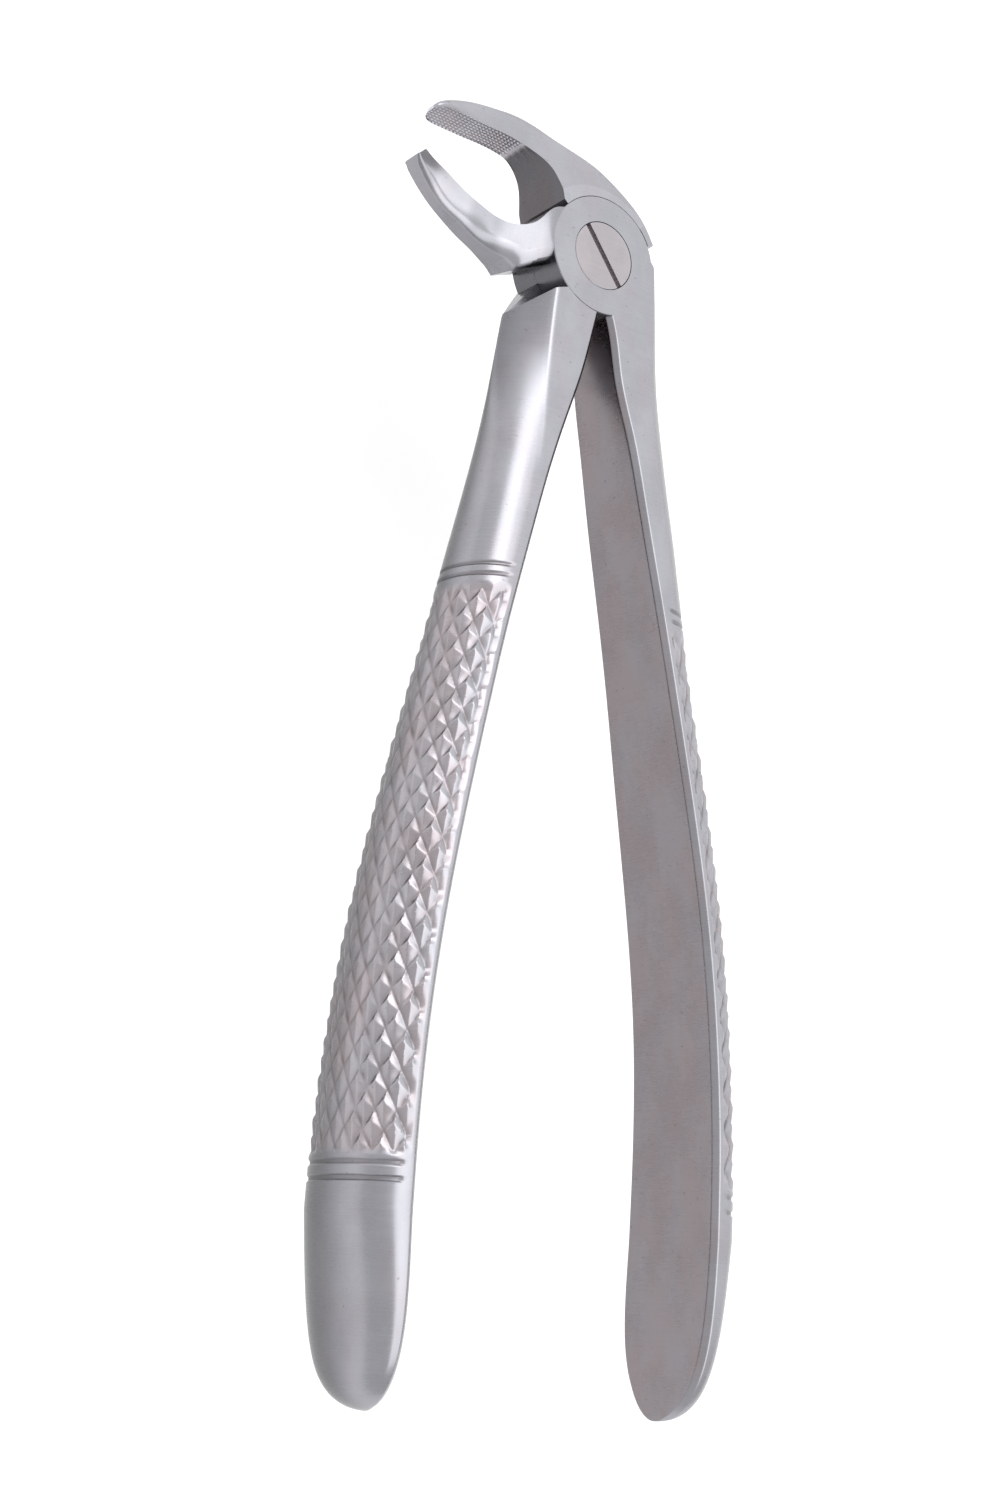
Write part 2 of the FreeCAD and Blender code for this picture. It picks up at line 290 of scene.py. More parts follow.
# Outlines in XY of what is cut from the roots: the back handle's top step in front of the lap,
# its web behind the lap, the front handle's crown, and the front beak's underside, which leans.
STEP_CUT = [(8, -5.9), (-5.0, -5.9), (-7.0, -6.6), (-11.2, -9.75), (-40, -31), (-40, 20), (8, 20)]
WEB_CUT = [(-3.0, 0.2), (-6.4, -4.0), (-11.2, -9.92), (-40, -45), (-40, 20), (-3, 20)]
CROWN_CUT = [(7.0, 2.25), (8.55, 0.75), (12.0, -1.2), (30, -1.2), (30, 20), (-20, 20), (-20, 2.25)]
UNDERSIDE_FRONT = [(0, 0), (-7.27, -3.33), (-9.0, -4.12), (-54.5, -25), (-60, -60), (0, -60)]
UNDERSIDE_BACK = [(0, 0.15), (-7.9, -1.85), (-9.6, -2.55), (-60, -2.7), (-60, -60), (0, -60)]


# ---- small mathematics -------------------------------------------------------------------
def smooth_step(x):
    t = np.clip(x, 0.0, 1.0)
    return t * t * (3 - 2 * t)


def across_span(x, span):
    """Nought before the span, 1 past it and smooth across it."""
    return smooth_step((x - span[0]) / (span[1] - span[0]))


def soft_ramp(x, blend):
    """x where it is well above nought, nought where it is well below, rounded between."""
    return (x + np.sqrt(x * x + blend * blend)) / 2


def spline(knots, values, at):
    """A natural cubic spline through the values at the knots, read at the given places."""
    knots = np.asarray(knots, float)
    values = np.asarray(values, float).reshape(len(knots), -1)
    step = np.diff(knots)
    count = len(knots)
    matrix = np.eye(count)
    right = np.zeros_like(values)
    slope = np.diff(values, axis=0) / step[:, None]
    for k in range(1, count - 1):
        matrix[k, k - 1] = step[k - 1]
        matrix[k, k] = 2 * (step[k - 1] + step[k])
        matrix[k, k + 1] = step[k]
        right[k] = 6 * (slope[k] - slope[k - 1])
    bend = np.linalg.solve(matrix, right)
    at = np.asarray(at, float)
    k = np.clip(np.searchsorted(knots, at) - 1, 0, count - 2)
    h = step[k][:, None]
    left = (at - knots[k])[:, None]
    rest = h - left
    return (
        bend[k] * rest**3 / (6 * h)
        + bend[k + 1] * left**3 / (6 * h)
        + (values[k] / h - bend[k] * h / 6) * rest
        + (values[k + 1] / h - bend[k + 1] * h / 6) * left
    )


def rounded(before, corner, after, size, count):
    """Points that take a corner round from the side of one neighbour to that of the other."""
    first = before - corner
    last = after - corner
    reach_first = min(size, 0.45 * np.linalg.norm(first))
    reach_last = min(size, 0.45 * np.linalg.norm(last))
    start = corner + first / max(np.linalg.norm(first), 1e-9) * reach_first
    end = corner + last / max(np.linalg.norm(last), 1e-9) * reach_last
    t = np.linspace(0, 1, count)[:, None]
    return (1 - t) ** 2 * start + 2 * t * (1 - t) * corner + t**2 * end


def run(start, end, count):
    """Evenly spaced points from start to end, both left out."""
    t = np.linspace(0, 1, count + 2)[1:-1, None]
    return start + (end - start) * t


# ---- meshes --------------------------------------------------------------------------------
def new_object(name, points, faces):
    mesh = bpy.data.meshes.new(name)
    mesh.from_pydata([tuple(p) for p in points], [], faces)
    mesh.update()
    item = bpy.data.objects.new(name, mesh)
    bpy.context.scene.collection.objects.link(item)
    return item


def tube(name, rings, groove=None):
    """A closed mesh over rings of points, given as an array of ring, point and coordinate.

    The groove's grime and painted shade, from nought to 1 for each point, is kept as an attribute for
    the material.
    """
    count, around, _ = rings.shape
    index = np.arange(count * around).reshape(count, around)
    a = index[:-1]
    b = index[1:]
    quads = np.stack([a, np.roll(a, -1, 1), np.roll(b, -1, 1), b], -1).reshape(-1, 4)
    faces = quads.tolist()
    faces.append(index[0][::-1].tolist())
    faces.append(index[-1].tolist())
    item = new_object(name, rings.reshape(-1, 3), faces)
    if groove is not None:
        attribute = item.data.attributes.new("groove", "FLOAT", "POINT")
        attribute.data.foreach_set("value", groove.reshape(-1).astype(np.float32))
    return item


def outward(item):
    """Turns the faces so that the mesh's volume is positive."""
    shape = bmesh.new()
    shape.from_mesh(item.data)
    bmesh.ops.recalc_face_normals(shape, faces=shape.faces)
    if shape.calc_volume(signed=True) < 0:
        bmesh.ops.reverse_faces(shape, faces=shape.faces)
    shape.to_mesh(item.data)
    shape.free()
    return item


def between(name, low_outline, high_outline, low, high):
    """A solid from one outline at height low to another, with as many points, at height high."""
    bottom = [(x, y, low) for x, y in low_outline]
    top = [(x, y, high) for x, y in high_outline]
    return outward(tube(name, np.array([bottom, top], float)))


def prism(name, outline, low, high):
    return between(name, outline, outline, low, high)


def turned(name, profile):
    """A lathe-turned solid about the hinge axis from (radius, height) points, bottom to top."""
    angle = np.linspace(0, 2 * math.pi, LATHE_SEGMENTS, endpoint=False)
    circle = np.stack([np.cos(angle), np.sin(angle)], -1)
    rings = [np.column_stack([r * circle, np.full(LATHE_SEGMENTS, z)]) for r, z in profile]
    return outward(tube(name, np.array(rings)))


def combine(target, tool, operation):
    """Applies a boolean of the tool to the target and deletes the tool."""
    modifier = target.modifiers.new("combine", "BOOLEAN")
    modifier.operation = operation
    modifier.solver = "MANIFOLD"
    modifier.object = tool
    graph = bpy.context.evaluated_depsgraph_get()
    mesh = bpy.data.meshes.new_from_object(target.evaluated_get(graph))
    target.modifiers.clear()
    old = target.data
    target.data = mesh
    bpy.data.meshes.remove(old)
    bpy.data.objects.remove(tool)
    return target


def cut(target, *tools):
    for tool in tools:
        combine(target, tool, "DIFFERENCE")
    return target


def join(target, *tools):
    for tool in tools:
        combine(target, tool, "UNION")
    return target


def keep(target, tool):
    return combine(target, tool, "INTERSECT")


# ---- handle sections ---------------------------------------------------------------------------
def half_section(inner, ridge, outer, half, bevel, tilt):
    """Half a handle's section, from the middle of the inner face to that of the outer side."""
    bevel = min(bevel, 0.35 * (outer - inner), 0.3 * half)
    ridge = max(ridge, inner + bevel + min(LEAST_FLAT, 0.05 * (outer - inner)))
    meet = max(half - (outer - ridge) * math.tan(tilt), LEAST_CORNER * half)
    crest, outermost, corner = np.array([(ridge, half), (outer, 0), (outer, meet)])
    t = np.linspace(0, 1, SIDE_COLUMNS + 1)[:, None]
    near_crest = crest + ARC_SHARE * (corner - crest)
    near_outer = outermost + ARC_SHARE * (corner - outermost)
    ends = (1 - t) ** 3 * crest + t**3 * outermost
    side = ends + 3 * t * (1 - t) * ((1 - t) * near_crest + t * near_outer)
    middle = np.array([inner, 0.0])
    inner_edge = np.array([inner, half - bevel])
    front_edge = np.array([inner + bevel, half])
    corners = [
        rounded(middle, inner_edge, front_edge, EDGE_ROUND, EDGE_POINTS),
        rounded(inner_edge, front_edge, crest, EDGE_ROUND, EDGE_POINTS),
        rounded(front_edge, crest, side[CREST_REACH], RIDGE_ROUND, CREST_POINTS),
    ]
    parts = [
        run(middle, corners[0][0], INNER_COLUMNS),
        corners[0],
        run(corners[0][-1], corners[1][0], BEVEL_COLUMNS),
        corners[1],
        run(corners[1][-1], corners[2][0], FRONT_COLUMNS),
        corners[2],
        side[CREST_REACH + 1 :],
    ]
    return np.concatenate(parts)


def handle_rows():
    """The distances below the hinge of a handle's rings, short of its rounded end."""
    rows = [np.arange(low, high - 1e-6, step) for low, high, step in ROW_SPANS]
    return np.concatenate(rows)


def end_sections():
    """The sections of a handle's end, as rows of the same values as in GRIP."""
    _, inner, _, outer, half_width = GRIP[-1]
    sections = []
    for q in 1 - np.linspace(1, END_LAST_RING, END_RINGS) ** 2:
        face = inner - END_LEAN * q**END_LEAN_POWER
        depth = (outer - inner) * (1 - END_TAPER * q) * math.sqrt(1 - q**END_DEPTH_POWER)
        width = half_width * math.sqrt(1 - q**END_WIDTH_POWER)
        bevel = BEVEL * min(1.0, END_BEVEL_SHARE * depth / (outer - inner))
        distance = END_START + q * (HANDLE_LENGTH - END_START)
        sections.append((distance, face, face + bevel, face + depth, width))
    return sections


def handle_rings(side, root):
    table = np.array(root + GRIP)
    rows = handle_rows()
    rows = rows[rows >= table[0, 0]]
    shape = spline(table[:, 0], table[:, 1:4], rows)
    half = np.maximum(spline(table[:, 0], table[:, 4], rows)[:, 0], table[0, 4])
    half[rows <= LEVEL_ROOT_END] = table[0, 4]
    sections = [(d, *s, h) for d, s, h in zip(rows, shape, half)] + end_sections()
    rings = []
    for distance, inner, ridge, outer, half_width in sections:
        tilt = math.radians(RIDGE_TILT * float(1 - across_span(distance, RIDGE_FADE)))
        back_share = float(across_span(distance, BACK_BEVEL_SPAN))
        back_bevel = BEVEL + (BACK_BEVEL - BEVEL) * back_share
        front = half_section(inner, ridge, outer, half_width, BEVEL, tilt)
        back = half_section(inner, ridge, outer, half_width, back_bevel, tilt)
        back = back[-2::-1] * (1, -1)
        ring = np.concatenate([front, back])
        y = np.full(len(ring), -distance)
        rings.append(np.stack([side * ring[:, 0], y, ring[:, 1]], -1))
    return np.array(rings)


def knurl_depth(distance, round_way):
    """Depth of the crossed grooves at distances down the handle and round its outer side."""
    depth = np.zeros_like(distance)
    for slope, pitch, first, hinge_wall, far_wall, depth_share in KNURL_FAMILIES:
        place = (distance - slope * round_way - first) / pitch
        groove = np.floor(place)
        uneven = 0.025 * np.sin(5.3 * groove) + 0.02 * np.sin(0.31 * distance + 2.0 * groove)
        share = np.mod(place + uneven, 1.0)
        rise = np.minimum(share / far_wall, (1 - share) / hinge_wall)
        depth = np.maximum(depth, depth_share * (1 - rise))
    swell = 0.07 * np.sin(2.7 * distance + 1.3 * round_way)
    swell = swell + 0.05 * np.sin(1.1 * distance - 3.1 * round_way)
    return KNURL_DEPTH * depth * (1 + swell) / 1.1


def carve(rings):
    """Cuts the ring grooves and the knurl into a handle's outer side; also gives their grime and
    painted shade.
    """
    flat = rings[:, :, [0, 2]]
    step = np.linalg.norm(np.diff(flat, axis=1), axis=2)
    length = np.concatenate([np.zeros((len(rings), 1)), np.cumsum(step, axis=1)], axis=1)
    count = rings.shape[1]
    front = length[:, CREST_INDEX][:, None]
    back = length[:, count - 1 - CREST_INDEX][:, None]
    round_way = length - front
    edge = np.minimum(round_way, back - length)
    shallow = 1 - KNURL_FLATTENING * smooth_step((edge - KNURL_FLAT_START) / KNURL_FLAT_START)
    distance = -rings[:, :, 1]
    along = np.roll(flat, -1, axis=1) - np.roll(flat, 1, axis=1)
    inward = np.stack([along[..., 1], -along[..., 0]], -1)
    inward /= np.maximum(np.linalg.norm(inward, axis=2), 1e-9)[..., None]
    middle = flat.mean(axis=1, keepdims=True)
    inward *= np.sign(np.sum(inward * (middle - flat), axis=2))[..., None]
    ends = smooth_step((distance - KNURL_START) / KNURL_FADE_IN)
    ends = ends * smooth_step((KNURL_END - distance) / KNURL_FADE_OUT)
    depth = knurl_depth(distance, round_way) * ends * smooth_step((edge - KNURL_EDGE) / KNURL_EDGE_FADE)
    # Grime and painted shade gather in the knurl's groove bottoms.
    grime_and_shade = KNURL_GRIME_AND_SHADE * np.clip(depth / KNURL_DEPTH, 0, 1) ** KNURL_GRIME_AND_SHADE_POWER
    depth *= shallow
    for place, half_width in RING_GROOVES:
        groove = np.clip((half_width - np.abs(distance - place)) / RING_WALL, 0, 1)
        groove *= smooth_step(edge - RING_EDGE)
        depth = np.maximum(depth, RING_DEPTH * groove)
        # The ring grooves get grime and painted shade as well.
        grime_and_shade = np.maximum(grime_and_shade, RING_GRIME_AND_SHADE * groove)
    carved = rings.copy()
    carved[:, :, [0, 2]] += inward * depth[..., None]
    return carved, grime_and_shade


def handle(side, root):
    rings, groove = carve(handle_rings(side, root))
    return outward(tube("handle", rings, groove))


# ---- beak sections -----------------------------------------------------------------------------
def beak_half_width(radius, flare_end):
    flare = soft_ramp(FLARE_SLOPE * (flare_end - radius), FLARE_BLEND)
    return TIP_HALF_WIDTH + flare + TIP_SWELL * across_span(radius, TIP_SWELL_SPAN)


def notch(place, pitch):
    """A row of V grooves: 1 at each groove's bottom, nought on the crests between."""
    share = place / pitch
    return 1 - 2 * np.abs(share - np.round(share))


def serration(travel, across, half_width):
    """Depth of the cuts across a gripping face, at a distance along it from the tip, and their grime
    and painted shade.
    """
    edge = smooth_step((half_width - np.abs(across)) / 0.2)
    lengthwise = notch(across + TOOTH_PITCH / 2, TOOTH_PITCH)
    crosswise = notch(travel, TOOTH_PITCH)
    share = smooth_step((TOOTH_END - travel) / TOOTH_FADE) * edge
    cut_share = np.maximum(lengthwise, crosswise)
    rise = smooth_step((travel - TOOTH_END + TOOTH_FADE) / 1.5) * smooth_step((FLUTE_END - travel) / 3)
    flutes = FLUTE_DEPTH * np.maximum(notch(across, FLUTE_PITCH), 0) * rise
    # Grime and painted shade gather in the bottoms of the cuts.
    grime_and_shade = np.clip(cut_share, 0, 1) ** 2 * share
    return TOOTH_DEPTH * cut_share * share + flutes * edge, grime_and_shade


def creased(width):
    """The half width held to the joint's, with a small rounding where it meets it."""
    near = np.maximum(CREASE - np.abs(width - HALF_JOINT), 0)
    return np.minimum(width, HALF_JOINT) - near**2 / (4 * CREASE)


def beak_section(travel, start, finish, flare_end, width_share, neck_corner):
    """A ring across a beak: flat inner face, hollow sides, narrower back; with its grime and painted
    shade.
    """
    across = finish - start
    depth = np.linalg.norm(across)
    across = across / depth
    reach = np.linalg.norm(finish)
    narrowing = NARROWING + TIP_NARROWING * across_span(reach, NARROWING_SPAN)
    hollow = BEAK_HOLLOW * across_span(reach, HOLLOW_SPAN)
    neck = 1 - across_span(reach, NECK_SPAN)
    corner = min(BEAK_CORNER + neck_corner * neck, 0.45 * depth)

    def half_width(x):
        radius = np.linalg.norm(start + across * np.reshape(x, (-1, 1)), axis=1)
        share = x / depth
        dip = hollow * np.sin(math.pi * np.minimum(share, 1))
        return creased((beak_half_width(radius, flare_end) - narrowing * share - dip) * width_share)

    x = np.linspace(0, depth - corner, BEAK_SIDE_COLUMNS)
    side = np.stack([x, half_width(x)], -1)
    drop = min(corner, 0.45 * side[-1, 1])
    turn = np.linspace(0, math.pi / 2, BEAK_CORNER_POINTS)[1:]
    bend = np.stack([x[-1] + corner * np.sin(turn), side[-1, 1] - drop * (1 - np.cos(turn))], -1)
    inner_run = np.linspace((0.0, 0.0), side[0], BEAK_INNER_COLUMNS)[:-1]
    depth_cut, groove = serration(travel, inner_run[:, 1], side[0, 1])
    inner_run[:, 0] += depth_cut
    outer_run = run(bend[-1], np.array([depth, 0.0]), BEAK_OUTER_COLUMNS)
    half = np.concatenate([inner_run, side, bend, outer_run, [(depth, 0.0)]])
    half = np.column_stack([half, np.append(groove, np.zeros(len(half) - len(groove)))])
    back = half[-2:0:-1] * (1, -1, 1)
    ring = np.concatenate([half, back])
    flat = start + across * ring[:, :1]
    return np.column_stack([flat, ring[:, 1:]])


def beak_rings(stations, flare_end, rounded_tip, neck_corner):
    inner = np.array([s[0] for s in stations])
    outer = np.array([s[1] for s in stations])
    travel = np.concatenate([[0], np.cumsum(np.linalg.norm(np.diff(inner, axis=0), axis=1))])
    fine = np.arange(0, FINE_ROWS_END, FINE_STEP)
    plain = np.arange(FINE_ROWS_END, travel[-1], PLAIN_STEP)
    rows = np.concatenate([fine, plain, travel[-1:]])
    inner_line = spline(travel, inner, rows)
    outer_line = spline(travel, outer, rows)
    rings = []
    for distance, start, finish in zip(rows, inner_line, outer_line):
        share = 1.0
        if rounded_tip:
            past = max(0.0, -start[0] - (TIP_ROUND_END - TIP_ROUND_LENGTH)) / TIP_ROUND_LENGTH
            share = math.sqrt(max(1 - past**3, TIP_LEAST_SHARE))
        rings.append(beak_section(distance, start, finish, flare_end, share, neck_corner))
    return np.array(rings)


def beak(stations, flare_end, rounded_tip, neck_corner):
    rings = beak_rings(stations, flare_end, rounded_tip, neck_corner)
    return outward(tube("beak", rings[:, :, :3], rings[:, :, 3]))


def radial(angle, radius):
    return (radius * math.cos(math.radians(angle)), radius * math.sin(math.radians(angle)))


# ---- the three pieces ---------------------------------------------------------------------------
def disc(low, high, low_break, high_break):
    """A joint disc from one height to another, with its two rims broken."""
    profile = [
        (DISC_RADIUS - low_break, low),
        (DISC_RADIUS, low + low_break),
        (DISC_RADIUS, high - high_break),
        (DISC_RADIUS - high_break, high),
    ]
    return turned("disc", profile)


def spotface_tool():
    """The shallow ring that is ground away above the joint, short of the root's right corner."""
    low = HALF_JOINT - SPOTFACE_DEPTH
    ring = [(SPOTFACE_RADIUS, low), (SPOTFACE_RADIUS + SPOTFACE_EDGE, HALF_JOINT + 0.01)]
    tool = turned("spotface", ring + [(SPOTFACE_RADIUS + SPOTFACE_EDGE, HALF_JOINT + 1)])
    outline = [(0, 0), radial(SPOTFACE_RIGHT, BIG), (0, 2 * BIG), (-BIG, BIG), (-BIG, 0)]
    return keep(tool, prism("above", outline, -BIG, BIG))


def back_half():
    """Back disc, upper beak and left handle."""
    high = -LAP
    right = radial(BACK_ROOT_RIGHT, BIG)
    left_end = radial(BACK_ROOT_LEFT, BACK_ROOT_LEFT_REACH)
    outline = [(0, 0), right, (0, 2 * BIG), (-BIG, BIG), (-BIG, left_end[1]), left_end]
    pocket = [(SHOULDER_RADIUS, high), (SHOULDER_RADIUS, HALF_JOINT + 1)]
    upper = beak(BACK_BEAK, BACK_FLARE_END, True, 0.0)
    keep(upper, prism("sector", outline, -BIG, BIG))
    cut(upper, turned("pocket", pocket), spotface_tool())
    grip = handle(-1, BACK_ROOT)
    cut(grip, prism("step", STEP_CUT, high, TALL), prism("web", WEB_CUT, -TALL, high))
    cut(grip, turned("pocket", pocket))
    join(grip, disc(-HALF_JOINT, high, DISC_BACK_BREAK, DISC_LAP_BREAK), upper)
    bore = [(THREAD_RADIUS, -HALF_JOINT - 1), (THREAD_RADIUS, high + 1)]
    return cut(grip, turned("bore", bore))


def front_half():
    """Front disc, lower beak and right handle."""
    low = LAP
    pocket = [(SHOULDER_RADIUS, -HALF_JOINT - 1), (SHOULDER_RADIUS, low)]
    lower = beak(FRONT_BEAK, FRONT_FLARE_END, False, NECK_CORNER)
    underside = between("underside", UNDERSIDE_BACK, UNDERSIDE_FRONT, -HALF_JOINT, HALF_JOINT)
    cut(lower, turned("pocket", pocket), underside)
    grip = handle(1, FRONT_ROOT)
    cut(grip, prism("crown", CROWN_CUT, -TALL, TALL), turned("pocket", pocket))
    join(grip, disc(low, HALF_JOINT, DISC_LAP_BREAK, DISC_FRONT_BREAK), lower)
    floor = HALF_JOINT - COUNTERBORE_DEPTH
    bore = [
        (JOURNAL_BORE_RADIUS, low - 1),
        (JOURNAL_BORE_RADIUS, floor),
        (COUNTERBORE_RADIUS, floor),
        (COUNTERBORE_RADIUS, HALF_JOINT + 1),
    ]
    return cut(grip, turned("bore", bore))


def joint_screw():
    """Slotted flush head, plain journal and a shank held in the back half."""
    under = HALF_JOINT - HEAD_THICKNESS
    profile = [
        (THREAD_RADIUS, -HALF_JOINT),
        (THREAD_RADIUS, -LAP),
        (JOURNAL_RADIUS, -LAP),
        (JOURNAL_RADIUS, under),
        (HEAD_RADIUS, under),
        (HEAD_RADIUS, HALF_JOINT - HEAD_BREAK),
        (HEAD_RADIUS - HEAD_BREAK, HALF_JOINT),
    ]
    screw = turned("screw", profile)
    angle = math.radians(SLOT_ANGLE)
    along = np.array([math.cos(angle), math.sin(angle)]) * 2 * HEAD_RADIUS
    wide = np.array([-math.sin(angle), math.cos(angle)]) * SLOT_WIDTH / 2
    outline = [tuple(-along - wide), tuple(along - wide), tuple(along + wide), tuple(-along + wide)]
    return cut(screw, prism("slot", outline, HALF_JOINT - SLOT_DEPTH, HALF_JOINT + 1))


# ---- finishing a piece ------------------------------------------------------------------------
SHARP_ANGLE = math.radians(26)
LEVEL_NORMAL = 0.999995
SLOT_LIP = 0.08
# Directions that the gripping faces look in, by side.
GRIP_FACING = {-1: np.array([-0.6, -0.8, 0.0]), 1: np.array([0.15, 0.99, 0.0])}
# How much darker than plain steel each kind of surface is painted; less than nought is brighter. Most
# of it is painted shade; the teeth and the slot get painted light, and the ground ring and the knurl
# are a little lighter in tone.
PAINTED_SHADE_LOW = 0.68
PAINTED_SHADE_LOW_BEAK = 0.2
PAINTED_SHADE_INNER = 0.26
PAINTED_SHADE_CROTCH = 0.14
PAINTED_SHADE_FLANK = 0.36
PAINTED_SHADE_GRIPPING = 0.66
PAINTED_SHADE_WALL = 0.60
PAINTED_HIGHLIGHT_TEETH = -1.5
DULL_SPOTFACE = -0.09
DULL_KNURL = -0.12
PAINTED_LIGHT_SLOT = -0.5
PAINTED_SHADE_BEAK_MIDDLE = 0.22
PAINTED_SHADE_BEAK_TIP = 0.28
PAINTED_SHADE_BEAK_NECK = 0.18
# How much warmer in colour it is.
WARM_INNER = 0.75
WARM_KNURL = 0.5
WARM_GRIPPING = 0.5
WARM_SLOT = 0.3


def spotface(x, y, z, level):
    """Whether a face lies on the ground ring sunk into the back half's root round the disc."""
    sunk = (z > 0) & (z < HALF_JOINT - SPOTFACE_DEPTH / 2) & (level > 0.99)
    return sunk & (y > 0) & (np.hypot(x, y) < SPOTFACE_RADIUS + SPOTFACE_EDGE)


def half_tone(side):
    """A function for how much painted shade and light and how warm the steel is, from a face's middle
    and its normal.

    The shares, from nought to 1, are of the handle's inner face, its dark top, what looks down or back,
    the gripping face, the joint's flank and walls, the front beak's bands and the knurl. All but the
    knurl's carry painted shade; the gripping face's teeth get painted light instead.
    """

    def tone(middle, normal):
        x, y, z = middle.T
        below = -y
        level = np.abs(normal[:, 2])
        outward_share = side * normal[:, 0]
        # Painted shade on the handle's inner face, deeper by the crotch where the handles meet.
        inner = smooth_step((-outward_share - 0.55) / 0.3) * (below > 7.0)
        crotch = smooth_step((17.5 + 0.6 * z - below) / 2.4)
        # Painted shade on faces that look down or back, less of it on the beaks.
        low = smooth_step((0.45 - normal[:, 2]) / 0.75) * (1 - inner)
        low = low * np.where(below > 6.0, PAINTED_SHADE_LOW, PAINTED_SHADE_LOW_BEAK)
        # Painted shade on the beaks' gripping faces.
        gripping = smooth_step((normal @ GRIP_FACING[side] - 0.3) / 0.3)
        gripping = gripping * (level < 0.6) * (x < -4.5) * (y > 0.0)
        # The toothed part of a gripping face gets a painted highlight instead.
        toothed = smooth_step((-10.9 - x) / 1.2)
        # Painted shade on the outward flank near the joint.
        flank = smooth_step((outward_share - 0.45) / 0.2)
        flank = flank * smooth_step((27 - below) / 12) * (below > 3.0)
        # Painted shade in bands across the front beak's faces, at its middle, tip and neck.
        beak_shade = PAINTED_SHADE_BEAK_MIDDLE * smooth_step((x + 19.3) / 1.5) * smooth_step((-13.6 - x) / 1.5)
        beak_shade = beak_shade + PAINTED_SHADE_BEAK_TIP * smooth_step((-23.2 - x) / 1.5)
        beak_shade = beak_shade + PAINTED_SHADE_BEAK_NECK * smooth_step((x + 9.5) / 1.2)
        beak_shade = beak_shade * (side > 0) * (level > 0.3) * (x < -6.5)
        # Painted shade on the disc's round walls and on the undersides near the joint.
        round_wall = (np.hypot(x, y) < DISC_RADIUS + 0.1) * (level < 0.5)
        underside = (normal[:, 1] < -0.6) * (below < 8.0) * (np.abs(x) < 10.0)
        knurled = smooth_step((below - KNURL_START) / 1.0) * smooth_step((KNURL_END - below) / 1.0)
        knurled = knurled * smooth_step((outward_share - 0.1) / 0.3)
        # Together these make the painted shade and light, with the ground ring's and the knurl's
        # lighter tone.
        painted_shade_and_tone = low + inner * (PAINTED_SHADE_INNER + PAINTED_SHADE_CROTCH * crotch)
        painted_shade_and_tone = np.maximum(painted_shade_and_tone, PAINTED_SHADE_FLANK * flank) + beak_shade
        painted_shade_and_tone = np.maximum(painted_shade_and_tone, PAINTED_SHADE_GRIPPING * gripping)
        painted_shade_and_tone = np.maximum(painted_shade_and_tone, PAINTED_SHADE_WALL * np.maximum(round_wall, underside))
        painted_shade_and_tone += PAINTED_HIGHLIGHT_TEETH * gripping * toothed + DULL_KNURL * knurled
        painted_shade_and_tone += DULL_SPOTFACE * spotface(x, y, z, level)
        warm = WARM_INNER * inner + WARM_KNURL * knurled + WARM_GRIPPING * gripping * (1 - toothed)
        return np.clip(painted_shade_and_tone, -1.0, 0.9), warm

    return tone


def screw_tone(middle, normal):
    """The slot's walls and bottom are lifted a little, as they see hardly any light."""
    sunk = middle[:, 2] < HALF_JOINT - SLOT_LIP
    # The slot's lift is painted light.
    return PAINTED_LIGHT_SLOT * sunk, WARM_SLOT * sunk


def add_tones(mesh, tone):
    """Stores the tone's two values on the faces of a mesh that is still in millimetres."""
    count = len(mesh.polygons)
    middle = np.zeros(count * 3, np.float32)
    normal = np.zeros(count * 3, np.float32)
    mesh.polygons.foreach_get("center", middle)
    mesh.polygons.foreach_get("normal", normal)
    values = tone(middle.reshape(-1, 3), normal.reshape(-1, 3))
    for name, value in zip(("painted_shade_and_tone", "warm"), values):
        attribute = mesh.attributes.new(name, "FLOAT", "FACE")
        attribute.data.foreach_set("value", np.asarray(value, np.float32))


def finish_piece(item, name, node, body, material, tone):
    """Scales a piece to metres, shades it, gives it a material and ties it to its CAD body."""
    item.name = name
    item.data.name = name
    mesh = item.data
    add_tones(mesh, tone)
    flat = np.zeros(len(mesh.polygons) * 3, np.float32)
    mesh.polygons.foreach_get("normal", flat)
    level = np.abs(flat.reshape(-1, 3)[:, 2]) > LEVEL_NORMAL
    mesh.transform(Matrix.Translation(HINGE) @ Matrix.Scale(MM, 4))
    mesh.polygons.foreach_set("use_smooth", ~level)
    mesh.set_sharp_from_angle(angle=SHARP_ANGLE)
    mesh.materials.clear()
    mesh.materials.append(material)
    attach(item, body)
    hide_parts(node)
    return item


